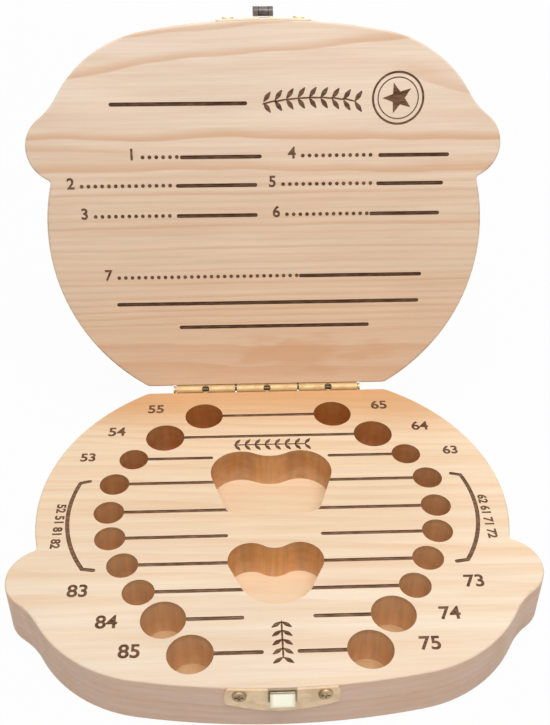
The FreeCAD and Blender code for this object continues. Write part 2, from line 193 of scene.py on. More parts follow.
def pineFigureGroup():  # growth rings, an amber band towards one side, streaks, fibres and flecks
    look = pineLook
    tree, given, out = newGroup(
        "pineFigure",
        {"Place": None, "CentreAcross": 0.0, "CentreDeep": -0.06, "RingWidth": 0.0015, "Slope": 0.0, "Waver": 0.01,
         "Late": 0.5, "LateGain": 0.0, "AmberFrom": 0.02, "AmberTo": 0.05, "Amber": 0.3, "Early": white,
         "LateTint": white, "Pale": white, "PaleFrom": 0.0, "PaleTo": -0.05},
        {"Color": white, "Roughness": 0.5, "Height": 0.0})
    place = given["Place"]
    along, across, deep = axisValues(tree, place)
    waver = calc(tree, "SUBTRACT", pattern(tree, place, look["waver"], 2.0), 0.5)  # slow bends of the rings
    ripple = calc(tree, "SUBTRACT", pattern(tree, place, look["ripple"], 2.0), 0.5)
    bend = calc(tree, "MULTIPLY_ADD", waver, given["Waver"], calc(tree, "MULTIPLY", along, given["Slope"]))
    side = calc(tree, "ADD", calc(tree, "SUBTRACT", across, given["CentreAcross"]), bend)
    rise = calc(tree, "SUBTRACT", deep, given["CentreDeep"])
    radius = calc(tree, "MULTIPLY_ADD", ripple, look["rippleReach"], reachOf(tree, side, rise))
    rings = calc(tree, "DIVIDE", radius, given["RingWidth"])
    inRing = calc(tree, "FRACT", rings)
    ringChance = tree.nodes.new("ShaderNodeTexWhiteNoise")
    ringChance.noise_dimensions = "1D"
    wire(tree, ringChance.inputs["W"], calc(tree, "FLOOR", rings))
    strength = spread(tree, ringChance.outputs["Value"], 0.0, 1.0, *look["ringStrength"], False)
    fall = spread(tree, inRing, *look["ringFall"], 1.0, 0.0)
    late = calc(tree, "MULTIPLY", calc(tree, "MULTIPLY", spread(tree, inRing, *look["ringRise"]), fall), strength)
    fibre = pattern(tree, place, look["fibre"], 3.0, 0.6)
    streak = pattern(tree, place, look["streak"], 3.0, 0.55)
    cloud = pattern(tree, place, look["cloud"], 2.0)
    fleck = pattern(tree, place, look["fleck"], 1.0)
    pale = spread(tree, across, given["PaleFrom"], given["PaleTo"])  # paler to the front
    colour = mixColour(tree, pale, given["Early"], given["Pale"])
    amberSide = calc(tree, "MULTIPLY_ADD", waver, look["amberWaver"], across)
    amberSide = spread(tree, amberSide, given["AmberFrom"], given["AmberTo"])
    colour = mixColour(tree, calc(tree, "MULTIPLY", amberSide, given["Amber"]), colour, given["LateTint"])
    lateAmount = calc(tree, "MULTIPLY_ADD", amberSide, given["LateGain"], given["Late"])
    colour = mixColour(tree, calc(tree, "MULTIPLY", late, lateAmount, clamp=True), colour, given["LateTint"])
    streaks = spread(tree, streak, *look["streakSpan"], 0.0, look["streakAmount"])
    colour = mixColour(tree, streaks, colour, given["LateTint"])
    shade = calc(tree, "ADD", spread(tree, fibre, *look["fibreSpan"], *look["fibreShade"]),
                 spread(tree, cloud, *noiseSpan, *look["cloudShade"]))
    flecks = spread(tree, fleck, *look["fleckSpan"], 0.0, look["fleckAmount"])
    wire(tree, out["Color"], mixColour(tree, flecks, shaded(tree, colour, shade), given["LateTint"]))
    wire(tree, out["Roughness"], spread(tree, late, 0.0, 1.0, *look["roughness"]))
    fibreHeight = calc(tree, "MULTIPLY", fibre, look["fibreHeight"])
    wire(tree, out["Height"], calc(tree, "MULTIPLY_ADD", late, look["ringHeight"], fibreHeight))
    return tree


# where the second and third strip of the lid start, and each strip's values
lidStrips = {"starts": (-11 * mm, 31 * mm),
             "values": {"CentreAcross": (-0.050, -0.075, 0.066), "RingWidth": (2.7 * mm, 1.6 * mm, 2.1 * mm),
                        "Slope": (0.035, 0.004, -0.03), "Waver": (0.012, 0.003, 0.012), "Late": (0.1, 0.45, 0.55)}}


def lidStripsGroup():  # values that step from one strip of the lid to the next
    tree, given, out = newGroup("lidStrips", {"Place": None}, {label: 0.0 for label in lidStrips["values"]})
    across = axisValues(tree, given["Place"])[1]
    steps = [calc(tree, "GREATER_THAN", across, start) for start in lidStrips["starts"]]
    for label, row in lidStrips["values"].items():
        value = row[0]
        for step, before, after in zip(steps, row, row[1:]):
            value = calc(tree, "MULTIPLY_ADD", step, after - before, value)
        wire(tree, out[label], value)
    return tree


# wide growth lines of the lid's outer strip: place across the lid, slope, soft width, amount, from and to along it
lidLines = {"bend": (24, 45, 45), "bendReach": 5 * mm, "endFade": 6 * mm, "edge": 0.5 * mm,
            "lines": [(-40.4 * mm, -0.108, 2.4 * mm, 0.55, -70 * mm, 45 * mm),
                      (-47.0 * mm, -0.105, 1.8 * mm, 0.45, -60 * mm, 30 * mm),
                      (-44.9 * mm, 0.27, 4.5 * mm, 0.4, 36 * mm, 70 * mm),
                      (-19.4 * mm, 0.0, 2.7 * mm, 0.62, -70 * mm, 70 * mm),
                      (-15.2 * mm, 0.02, 2.0 * mm, 0.35, -70 * mm, -35 * mm),
                      (-11.0 * mm, 0.0, 3.0 * mm, 0.55, -70 * mm, 70 * mm)]}


def lidLinesGroup():  # each line is soft on one side and sharp on the other
    tree, given, out = newGroup("lidLines", {"Place": None, "Color": white, "Tint": white}, {"Color": white})
    along, across = axisValues(tree, given["Place"])[:2]
    bend = calc(tree, "SUBTRACT", pattern(tree, given["Place"], lidLines["bend"], 2.0), 0.5)
    colour = given["Color"]
    fade = lidLines["endFade"]
    for start, slope, width, amount, fromEnd, toEnd in lidLines["lines"]:
        straight = calc(tree, "MULTIPLY_ADD", along, slope, start)
        off = calc(tree, "SUBTRACT", across, calc(tree, "MULTIPLY_ADD", bend, lidLines["bendReach"], straight))
        soft = spread(tree, off, -width, 0.0)
        sharp = spread(tree, off, 0.0, lidLines["edge"], amount, 0.0)
        first = spread(tree, along, fromEnd - fade, fromEnd + fade)
        last = spread(tree, along, toEnd - fade, toEnd + fade, 1.0, 0.0)
        line = calc(tree, "MULTIPLY", calc(tree, "MULTIPLY", soft, sharp), calc(tree, "MULTIPLY", first, last))
        colour = mixColour(tree, line, colour, given["Tint"])
    wire(tree, out["Color"], colour)
    return tree


burnShadeLook = {"mottle": (260, 260, 420), "mottleAmount": (-0.06, 0.06), "ridge": 7 * mm,
             "lobeRise": (3 * mm, 6.5 * mm), "lobeFall": (6.5 * mm, 11 * mm), "scorch": 2 * mm,
             "marks": (700, 700, 60)}


def burnShadeWoodGroup():  # milled hollows: browned, partly by the cutter's burn and partly as painted shade, with painted shade deepening to the rear, painted light on a heart's middle ridge, painted shade in its lobes and more burn at the rim
    look = burnShadeLook
    tree, given, out = newGroup(
        "burnShadeWood",
        {"Place": None, "Color": white, "Low": 0.0, "High": 0.01, "Floor": 0.5, "Rim": 0.5, "RearFrom": -0.04,
         "RearTo": 0.04, "Front": white, "Rear": white, "Ridge": 0.0, "RidgeTint": white, "Lobe": 0.0,
         "Scorch": 0.0, "Dark": white, "Marks": 0.0},
        {"Color": white})
    place = given["Place"]
    along, across, up = axisValues(tree, place)
    mottle = spread(tree, pattern(tree, place, look["mottle"]), *noiseSpan, *look["mottleAmount"])
    height = spread(tree, up, given["Low"], given["High"], given["Floor"], given["Rim"])
    amount = calc(tree, "ADD", height, mottle, clamp=True)
    # painted shade where the Rear tint is darker: it takes over towards the rear
    rear = spread(tree, across, given["RearFrom"], given["RearTo"])
    tint = mixColour(tree, rear, given["Front"], given["Rear"])
    aside = calc(tree, "ABSOLUTE", along)
    ridge = spread(tree, aside, 0.0, look["ridge"], given["Ridge"], 0.0)  # painted light: golden down the heart's middle ridge
    tint = mixColour(tree, ridge, tint, given["RidgeTint"])
    lobe = calc(tree, "MULTIPLY", spread(tree, aside, *look["lobeRise"]),
                spread(tree, aside, *look["lobeFall"], given["Lobe"], 0.0))  # painted shade: darker in the lobes of a heart
    tint = mixColour(tree, lobe, tint, given["Dark"])
    scorch = spread(tree, up, board["top"] - look["scorch"], board["top"], 0.0, given["Scorch"])
    tint = mixColour(tree, scorch, tint, given["Dark"])
    colour = mixColour(tree, amount, given["Color"], tint)
    marks = pattern(tree, place, look["marks"], 2.0)  # upright strokes of the cutter
    marks = spread(tree, marks, *noiseSpan, -1.0, 1.0)
    wire(tree, out["Color"], shaded(tree, colour, calc(tree, "MULTIPLY_ADD", marks, given["Marks"], 1.0)))
    return tree


charLook = {"grain": (300, 1800, 1800), "grainSpan": (0.3, 0.75), "roughness": (0.95, 0.75)}


def charredWoodGroup():  # burnt lines, numbers and marks
    tree, given, out = newGroup("charredWood", {"Place": None, "Dark": white, "Light": white},
                                {"Color": white, "Roughness": 0.5, "Height": 0.0})
    grain = pattern(tree, given["Place"], charLook["grain"], 3.0, 0.6)
    lighter = spread(tree, grain, *charLook["grainSpan"])
    wire(tree, out["Color"], mixColour(tree, lighter, given["Dark"], given["Light"]))
    wire(tree, out["Roughness"], spread(tree, grain, *noiseSpan, *charLook["roughness"]))
    wire(tree, out["Height"], grain)
    return tree


metalLook = {"patch": (420, 420, 420), "patchSpan": (0.35, 0.7), "patchRough": 0.3, "speck": (2600, 2600, 2600),
             "speckSpan": (0.62, 0.78), "speckAmount": 0.25, "scratch": (300, 6000, 6000),
             "scratchRough": (-0.05, 0.08), "height": 0.5}


def rubbedMetalGroup():  # dull patches, specks and fine scratches
    look = metalLook
    tree, given, out = newGroup(
        "rubbedMetal", {"Place": None, "Bright": white, "Tarnish": white, "Amount": 0.4, "Gloss": 0.3},
        {"Color": white, "Roughness": 0.5, "Height": 0.0})
    patch = pattern(tree, given["Place"], look["patch"], 4.0, 0.6)
    speck = pattern(tree, given["Place"], look["speck"], 2.0)
    scratch = pattern(tree, given["Place"], look["scratch"], 2.0)
    dull = calc(tree, "MULTIPLY", spread(tree, patch, *look["patchSpan"]), given["Amount"])
    colour = mixColour(tree, dull, given["Bright"], given["Tarnish"])
    specks = spread(tree, speck, *look["speckSpan"], 0.0, look["speckAmount"])
    wire(tree, out["Color"], mixColour(tree, specks, colour, given["Tarnish"]))
    scratches = spread(tree, scratch, *noiseSpan, *look["scratchRough"])
    rough = calc(tree, "MULTIPLY_ADD", dull, look["patchRough"], scratches)
    wire(tree, out["Roughness"], calc(tree, "ADD", given["Gloss"], rough))
    wire(tree, out["Height"], calc(tree, "MULTIPLY", calc(tree, "ADD", patch, scratch), look["height"]))
    return tree


pineFigure = pineFigureGroup()
stripSteps = lidStripsGroup()
growthLines = lidLinesGroup()
burnShadeWood = burnShadeWoodGroup()
charredWood = charredWoodGroup()
rubbedMetal = rubbedMetalGroup()
print("shared effects ready")

# wood

basePine = {"Early": (0.89, 0.70, 0.495, 1), "Pale": (0.885, 0.75, 0.595, 1), "LateTint": (0.72, 0.40, 0.185, 1),
            "PaleFrom": 10 * mm, "PaleTo": -45 * mm, "CentreAcross": -44 * mm, "CentreDeep": -50 * mm,
            "RingWidth": 2.2 * mm, "Slope": 0.05, "Waver": 0.01, "Late": 0.3, "LateGain": 0.4,
            "AmberFrom": 30 * mm, "AmberTo": 50 * mm, "Amber": 0.95}
lidPine = {"Early": (0.84, 0.645, 0.475, 1), "Pale": (0.915, 0.75, 0.605, 1), "LateTint": (0.68, 0.37, 0.19, 1),
           "PaleFrom": 5 * mm, "PaleTo": -45 * mm, "CentreDeep": -50 * mm, "LateGain": 0.0,
           "AmberFrom": 0.0, "AmberTo": 60 * mm, "Amber": 0.42}
# sawn edges are a little redder than the planed faces
sawnEdge = {"Early": (0.89, 0.645, 0.50, 1), "Pale": (0.89, 0.645, 0.50, 1)}
pineCoat = {"specular": 0.3, "bump": 0.25, "bumpDepth": 0.06 * mm}
lidFlame = {"lick": (70, 240, 240), "lickReach": (-0.45, 0.45), "centre": (9 * mm, 39.5 * mm),
            "reach": (24 * mm, 6.2 * mm), "fade": (0.2, 1.0), "amount": 0.5}


def finishPine(tree, shader, wood, colour):
    wire(tree, shader["Base Color"], colour)
    wire(tree, shader["Roughness"], wood["Roughness"])
    shader["Specular IOR Level"].default_value = pineCoat["specular"]
    wire(tree, shader["Normal"], bump(tree, wood["Height"], pineCoat["bump"], pineCoat["bumpDepth"]))


def basePineMaterial(name, figure, burnShadeTint=None):
    material, tree, shader = newMaterial(name)
    place = basePattern(tree)
    wood = useGroup(tree, pineFigure, Place=place, **figure)
    colour = wood["Color"]
    if burnShadeTint:
        colour = useGroup(tree, burnShadeWood, Place=place, Color=colour, **burnShadeTint)["Color"]
    finishPine(tree, shader, wood, colour)
    return material


def lidPineMaterial(name, figure, flame=None):
    material, tree, shader = newMaterial(name)
    place = lidPattern(tree)
    strip = {socket.name: socket for socket in useGroup(tree, stripSteps, Place=place)}
    wood = useGroup(tree, pineFigure, Place=place, **figure, **strip)
    colour = useGroup(tree, growthLines, Place=place, Color=wood["Color"], Tint=figure["LateTint"])["Color"]
    if flame:  # a reddish lick of the grain near the hinge
        lick = spread(tree, pattern(tree, place, flame["lick"]), *noiseSpan, *flame["lickReach"])
        sides = [calc(tree, "DIVIDE", calc(tree, "SUBTRACT", value, centre), reach)
                 for value, centre, reach in zip(axisValues(tree, place), flame["centre"], flame["reach"])]
        far = calc(tree, "ADD", reachOf(tree, *sides), lick)
        near = spread(tree, far, *flame["fade"], flame["amount"], 0.0)
        colour = mixColour(tree, near, colour, figure["LateTint"])
    finishPine(tree, shader, wood, colour)
    return material


pineBase = basePineMaterial("pineBase", basePine)
sawnBase = basePineMaterial("sawnBase", {**basePine, **sawnEdge})
pineLid = lidPineMaterial("pineLid", lidPine, lidFlame)
sawnLid = lidPineMaterial("sawnLid", {**lidPine, **sawnEdge})
# cup and heart tints: partly cutter burn, partly painted shade, darkest at the rear as painted shade; Ridge is
# painted light, Lobe painted shade
cupWood = basePineMaterial("cupWood", basePine, {
    "RearFrom": -25 * mm, "RearTo": 45 * mm, "Low": 3 * mm, "High": 8 * mm, "Floor": 0.72, "Rim": 0.88,
    "Front": (0.78, 0.462, 0.215, 1), "Rear": (0.51, 0.172, 0.024, 1),
    "Scorch": 0.4, "Dark": (0.27, 0.125, 0.035, 1), "Marks": 0.07})
cupFloor = basePineMaterial("cupFloor", basePine, {
    "RearFrom": -25 * mm, "RearTo": 45 * mm, "Floor": 0.95, "Rim": 0.95,
    "Front": (0.595, 0.375, 0.19, 1), "Rear": (0.40, 0.14, 0.02, 1)})
heartWood = basePineMaterial("heartWood", basePine, {
    "Low": 3 * mm, "High": 9 * mm, "Floor": 0.58, "Rim": 0.80,
    "Front": (0.70, 0.335, 0.075, 1), "Rear": (0.48, 0.17, 0.012, 1),
    "Ridge": 0.5, "RidgeTint": (0.85, 0.42, 0.10, 1), "Lobe": 0.3,
    "Scorch": 0.3, "Dark": (0.30, 0.12, 0.02, 1), "Marks": 0.09})
heartFloor = basePineMaterial("heartFloor", basePine, {
    "Floor": 0.4, "Rim": 0.4, "Front": (0.89, 0.71, 0.45, 1), "Rear": (0.95, 0.76, 0.49, 1)})
print("wood ready")

# burnt wood

burnt = {"specular": 0.15, "bump": 0.5, "bumpDepth": 0.08 * mm}


def burntMaterial(name, dark, light):
    material, tree, shader = newMaterial(name)
    char = useGroup(tree, charredWood, Place=basePattern(tree), Dark=dark, Light=light)
    wire(tree, shader["Base Color"], char["Color"])
    wire(tree, shader["Roughness"], char["Roughness"])
    shader["Specular IOR Level"].default_value = burnt["specular"]
    wire(tree, shader["Normal"], bump(tree, char["Height"], burnt["bump"], burnt["bumpDepth"]))
    return material


burntBase = burntMaterial("burntBase", (0.135, 0.069, 0.04, 1), (0.30, 0.172, 0.102, 1))
burntLid = burntMaterial("burntLid", (0.08, 0.038, 0.021, 1), (0.19, 0.10, 0.057, 1))
burntMark = burntMaterial("burntMark", (0.10, 0.048, 0.027, 1), (0.23, 0.125, 0.072, 1))
print("burnt wood ready")

# metal

metalSkin = {"bump": 0.2, "bumpDepth": 0.04 * mm}


def metalMaterial(name, bright, tarnish, amount, gloss, place=basePattern, tint=None):
    material, tree, shader = newMaterial(name)
    where = place(tree)
    skin = useGroup(tree, rubbedMetal, Place=where, Bright=bright, Tarnish=tarnish, Amount=amount, Gloss=gloss)
    colour, rough = skin["Color"], skin["Roughness"]
    if tint:
        colour, rough = tint(tree, where, colour, rough)
    wire(tree, shader["Base Color"], colour)
    wire(tree, shader["Roughness"], rough)
    shader["Metallic"].default_value = 1.0
    wire(tree, shader["Normal"], bump(tree, skin["Height"], metalSkin["bump"], metalSkin["bumpDepth"]))
    return material


# painted highlight and painted shade on and round the catch's nose
catchNose = {"half": 2.6 * mm, "top": 12.5 * mm, "bottom": 9.2 * mm, "proud": (-48.65 * mm, -49.0 * mm),
             "paintedHighlight": (0.95, 0.92, 0.76, 1), "gloss": -0.16, "edge": (0.66, 0.60, 0.40, 1), "edgeShadeWidth": 0.9 * mm,
             "edgeShadeAmount": 0.8, "paintedShade": (0.10, 0.08, 0.05, 1), "shadeWidth": (0.1 * mm, 0.6 * mm),
             "shadeAmount": 0.85, "lip": (12.05 * mm, 12.35 * mm), "lipShadeAmount": 0.8}


def catchHighlightAndShade(tree, place, colour, rough):  # painted highlight on the nose, glossier too, with painted shade toward its sides and bottom, along its top lip and in the corner round it
    look = catchNose
    x, y, z = axisValues(tree, place)
    proud = spread(tree, y, *look["proud"])
    aside = calc(tree, "SUBTRACT", calc(tree, "ABSOLUTE", x), look["half"])
    above = calc(tree, "SUBTRACT", z, look["top"])
    below = calc(tree, "SUBTRACT", look["bottom"], z)
    off = calc(tree, "MAXIMUM", aside, calc(tree, "MAXIMUM", above, below))
    # painted shade: a dark band on the plate round the nose
    corner = spread(tree, off, *look["shadeWidth"], look["shadeAmount"], 0.0)
    corner = calc(tree, "MULTIPLY", corner, calc(tree, "SUBTRACT", 1.0, proud))
    colour = mixColour(tree, corner, colour, look["paintedShade"])
    toEdge = calc(tree, "MAXIMUM", aside, below)  # 0 at the nose's edge, less inside it
    # painted highlight over the nose, with painted shade toward its sides and bottom
    nose = spread(tree, toEdge, -look["edgeShadeWidth"], 0.0, 0.0, look["edgeShadeAmount"])
    nose = mixColour(tree, nose, look["paintedHighlight"], look["edge"])
    # painted shade along the nose's top lip
    nose = mixColour(tree, spread(tree, z, *look["lip"], 0.0, look["lipShadeAmount"]), nose, look["paintedShade"])
    return mixColour(tree, proud, colour, nose), calc(tree, "MULTIPLY_ADD", proud, look["gloss"], rough)


# the ears' colour is the lever's painted shade
latchEars = {"proud": (-48.6 * mm, -48.9 * mm), "leverShade": (0.13, 0.105, 0.095, 1)}


def shadedEars(tree, place, colour, rough):  # plate left pale, its ears painted as dark as the lever, as painted shade
    proud = spread(tree, axisValues(tree, place)[1], *latchEars["proud"])
    return mixColour(tree, proud, colour, latchEars["leverShade"]), rough


pinHeads = {"from": 24.9 * mm, "to": 25.1 * mm, "colour": (0.60, 0.44, 0.24, 1)}


def brassHeads(tree, place, colour, rough):  # only the pin's heads show on the outside
    ends = spread(tree, calc(tree, "ABSOLUTE", axisValues(tree, place)[0]), pinHeads["from"], pinHeads["to"])
    return mixColour(tree, ends, colour, pinHeads["colour"]), rough


brass = metalMaterial("brass", (0.66, 0.49, 0.27, 1), (0.52, 0.37, 0.19, 1), 0.35, 0.64)
# catch brass with a painted highlight and painted shade on and round its nose
catchBrass = metalMaterial("catchBrass", (0.73, 0.56, 0.37, 1), (0.52, 0.39, 0.24, 1), 0.5, 0.42, tint=catchHighlightAndShade)
latchBrass = metalMaterial("latchBrass", (0.82, 0.70, 0.52, 1), (0.66, 0.53, 0.37, 1), 0.4, 0.45,
                           lidPattern, shadedEars)
# lever metal painted near black: painted shade
leverShade = metalMaterial("leverShade", (0.135, 0.114, 0.113, 1), (0.062, 0.052, 0.052, 1), 0.5, 0.4)
# pins painted near black, as painted shade in the hinge knuckles' windows; only their heads are brass
steel = metalMaterial("steel", (0.14, 0.105, 0.075, 1), (0.06, 0.042, 0.03, 1), 0.5, 0.45, tint=brassHeads)
screwBrass = metalMaterial("screwBrass", (0.50, 0.38, 0.24, 1), (0.20, 0.14, 0.08, 1), 0.7, 0.45)
paleScrew = metalMaterial("paleScrew", (0.82, 0.70, 0.52, 1), (0.55, 0.43, 0.29, 1), 0.4, 0.45)
print("metal ready")


# mesh helpers

weld = 1e-6  # corners nearer than this are one, and heights nearer than this are equal
flatAxes = (Vector((0, 0, 1)), swingOpen.to_3x3() @ Vector((0, 0, 1)))  # faces of the base and of the open lid
creases = {"sharp": math.radians(32), "level": 0.001, "flat": 0.99999}


def addPiece(name, mesh, materials, body):
    piece = bpy.data.objects.new(name, mesh)
    bpy.context.scene.collection.objects.link(piece)
    for material in materials:
        mesh.materials.append(material)
    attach(piece, body)
    return piece


def copyOfNode(node):  # the node's mesh with its loose triangles joined
    shape = bmesh.new()
    shape.from_mesh(nodes[node].data)
    bmesh.ops.remove_doubles(shape, verts=shape.verts, dist=weld)
    return shape


def toMesh(shape, name):
    mesh = bpy.data.meshes.new(name)
    shape.to_mesh(mesh)
    shape.free()
    return mesh


def finishMesh(shape, name):  # smooth, with creases at sharp edges and round every flat face
    shape.normal_update()
    for face in shape.faces:
        face.smooth = True
    for edge in shape.edges:
        if len(edge.link_faces) != 2:
            continue
        angle = edge.calc_face_angle(0.0)
        flat = any(abs(face.normal.dot(axis)) > creases["flat"] for face in edge.link_faces for axis in flatAxes)
        edge.smooth = angle < creases["sharp"] and not (angle > creases["level"] and flat)
    return toMesh(shape, name)


def paint(face, materials, part):
    face.material_index = list(materials).index(part)


def grooveFace(heights, slant):  # floor or wall of a burnt line, by its corners' distances from the face
    near, upright = 2e-6, 0.05
    deep = board["groove"]
    onFloor = all(abs(height - deep) < near for height in heights)
    onWall = all(min(abs(height), abs(height - deep)) < near for height in heights) and abs(slant) < upright
    return onFloor or onWall


# base board

baseBoard = {"materials": {"face": pineBase, "line": burntBase, "cup": cupWood, "cupFloor": cupFloor,
                           "heart": heartWood, "heartFloor": heartFloor, "edge": sawnBase},
             "cupSides": (0.282, 0.446, 0.571, 0.639, 0.648, 0.632, 0.574, 0.506, 0.410, 0.311),
             "cupDepths": (0.108, 0.196, 0.280, 0.373, 0.474, 0.562, 0.649, 0.732, 0.813, 0.908),
             "molarRows": (0, 1, 8, 9), "molarRadius": 5.0 * mm, "smallRadius": 3.65 * mm, "cupMargin": 1.01,
             "heartReach": 16 * mm, "heartFrom": 24 * mm, "heartTo": 75.2 * mm, "floorLevel": 0.9, "edgeSlant": 0.5}


def cupAt(place):
    for row, (side, depth) in enumerate(zip(baseBoard["cupSides"], baseBoard["cupDepths"])):
        radius = baseBoard["molarRadius"] if row in baseBoard["molarRows"] else baseBoard["smallRadius"]
        y = board["depth"] / 2 - depth * board["depth"]
        if math.hypot(abs(place.x) - side * board["halfWidth"], place.y - y) < radius * baseBoard["cupMargin"]:
            return True
    return False


def heartAt(place):
    depth = board["depth"] / 2 - place.y
    return abs(place.x) < baseBoard["heartReach"] and baseBoard["heartFrom"] < depth < baseBoard["heartTo"]


def buildBaseBoard():
    shape = copyOfNode("base_board")
    top = board["top"]
    for face in shape.faces:
        middle = face.calc_center_median()
        floor = "Floor" if face.normal.z > baseBoard["floorLevel"] else ""
        if middle.z > top - weld or middle.z < weld:
            continue
        if cupAt(middle):
            paint(face, baseBoard["materials"], "cup" + floor)
        elif grooveFace([top - corner.co.z for corner in face.verts], face.normal.z):
            paint(face, baseBoard["materials"], "line")
        elif heartAt(middle):
            paint(face, baseBoard["materials"], "heart" + floor)
        elif abs(face.normal.z) < baseBoard["edgeSlant"]:
            paint(face, baseBoard["materials"], "edge")
    mesh = finishMesh(shape, "baseBoardWood")
    piece = addPiece("baseBoardWood", mesh, baseBoard["materials"].values(), "base")
    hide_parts("base_board")


# lid board

lidBoard = {"materials": {"face": pineLid, "line": burntLid, "edge": sawnLid}, "edgeSlant": 0.5}


def buildLidBoard():
    shape = copyOfNode("lid_board")
    toShut = swingOpen.inverted()
    inner = board["top"] + board["gap"]
    for face in shape.faces:
        heights = [(toShut @ corner.co).z - inner for corner in face.verts]
        slant = (toShut.to_3x3() @ face.normal).z
        if max(heights) > weld and grooveFace(heights, slant):
            paint(face, lidBoard["materials"], "line")
        elif abs(slant) < lidBoard["edgeSlant"]:
            paint(face, lidBoard["materials"], "edge")
    mesh = finishMesh(shape, "lidBoardWood")
    piece = addPiece("lidBoardWood", mesh, lidBoard["materials"].values(), "lid")
    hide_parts("lid_board")


buildBaseBoard()
buildLidBoard()
print("boards dressed")

# burnt marks

markShape = {"thick": 0.03 * mm, "bold": 0.11 * mm, "thinnest": 1e-7, "starWaist": 0.42, "leafWidth": 0.4,
             "leafTaper": 0.45, "leafLean": 0.95, "leafGap": 0.08 * mm, "stem": 0.22 * mm, "stemOverlap": 0.655,
             "bowLength": 8 * mm, "bowLean": 0.25}


def flatDisc(shape, x, y, wide, tall, turn=0.0, segments=16):
    place = Matrix.Translation((x, y, 0)) @ Matrix.Rotation(turn, 4, "Z") @ Matrix.Diagonal((wide, tall, 1, 1))
    return bmesh.ops.create_circle(shape, cap_ends=True, segments=segments, radius=1.0, matrix=place)["verts"]


def flatStar(shape, x, y, radius, points=5):
    corners = flatDisc(shape, x, y, radius, radius, math.pi / 2, points * 2)
    centre = Vector((x, y, 0))
    for corner in corners[1::2]:
        corner.co = centre + (corner.co - centre) * markShape["starWaist"]


def flatLeaf(shape, x, y, leaf, turn):
    half = leaf / 2
    corners = flatDisc(shape, 0, 0, half, half * markShape["leafWidth"], 0.0, 20)
    for corner in corners:  # pointed at both ends
        corner.co.y *= 1 - abs(corner.co.x) / half * markShape["leafTaper"]
    place = Matrix.Translation((x, y, 0)) @ Matrix.Rotation(turn, 4, "Z") @ Matrix.Translation((half, 0, 0))
    bmesh.ops.transform(shape, matrix=place, verts=corners)


def thicken(shape):
    bmesh.ops.recalc_face_normals(shape, faces=shape.faces)
    for face in shape.faces:
        if face.normal.z < 0:
            face.normal_flip()
    raised = bmesh.ops.extrude_face_region(shape, geom=list(shape.faces), use_keep_orig=True)["geom"]
    corners = [part for part in raised if isinstance(part, bmesh.types.BMVert)]
    bmesh.ops.translate(shape, verts=corners, vec=(0, 0, markShape["thick"]))
    bmesh.ops.recalc_face_normals(shape, faces=shape.faces)


def numberMesh(text, size):
    curve = bpy.data.curves.new("number", "FONT")
    curve.body = text
    curve.size = size
    curve.align_x = "CENTER"
    curve.align_y = "CENTER"
    curve.extrude = markShape["thick"]
    curve.offset = markShape["bold"]
    holder = bpy.data.objects.new("number", curve)
    mesh = bpy.data.meshes.new_from_object(holder)
    bpy.data.objects.remove(holder)
    return mesh


def sprayMesh(leaves, step, leaf, bow=0.0):  # pairs of leaves on a straight or bowed stem
    shape = bmesh.new()
    for count in range(leaves):
        along = (count - (leaves - 1) / 2) * step
        rise = bow * (math.cos(along / markShape["bowLength"]) - 1)
        if count < leaves - 1:
            lean = -markShape["bowLean"] * (2 * count / (leaves - 2) - 1) if bow else 0.0
            flatDisc(shape, along + step / 2, rise, step * markShape["stemOverlap"], markShape["stem"], lean)
        for side in (-1, 1):
            flatLeaf(shape, along, rise + side * markShape["leafGap"], leaf, side * markShape["leafLean"])
    thicken(shape)
    return toMesh(shape, "spray")


def addMark(shape, mesh, place):
    mesh.transform(place)
    shape.from_mesh(mesh)
    bpy.data.meshes.remove(mesh)
    bmesh.ops.remove_doubles(shape, verts=shape.verts, dist=weld)
    bmesh.ops.dissolve_degenerate(shape, dist=markShape["thinnest"], edges=shape.edges)


# numbers and sprays on the base

# places in millimetres; numbers: left and right column, side, depth, turn, size; sprays: leaves, step, leaf, x,
# depth, turn
baseMarks = {"size": 4.8 * mm,
             "numbers": [("55", "65", 30.2, 7.2, 0, 0.95), ("54", "64", 40.0, 16.2, 0, 0.95),
                         ("53", "63", 46.5, 25.9, 0, 0.85), ("52 51 81 82", "62 61 71 72", 51.2, 49.5, -90, 0.62),
                         ("83", "73", 44.3, 69.6, 0, 1.0), ("84", "74", 37.2, 78.4, 0, 1.0),
                         ("85", "75", 31.7, 86.2, 0, 1.0)],
             "sprays": [(8, 2.6, 2.5, 0.0, 22.2, 0), (5, 2.3, 2.6, 0.5, 84.0, -90)]}


def basePlaceTurned(x, depth, turn):
    return basePlace(x * mm, depth * mm) @ Matrix.Rotation(math.radians(turn), 4, "Z")


def buildNumbers():
    shape = bmesh.new()
    for leaves, step, leaf, x, depth, turn in baseMarks["sprays"]:
        addMark(shape, sprayMesh(leaves, step * mm, leaf * mm), basePlaceTurned(x, depth, turn))
    for left, right, side, depth, turn, size in baseMarks["numbers"]:
        for label, x in ((left, -side), (right, side)):
            addMark(shape, numberMesh(label, baseMarks["size"] * size), basePlaceTurned(x, depth, turn))
    addPiece("baseNumbers", finishMesh(shape, "baseNumbers"), [burntMark], "base")


buildNumbers()
print("numbers burnt in")

# marks on the lid

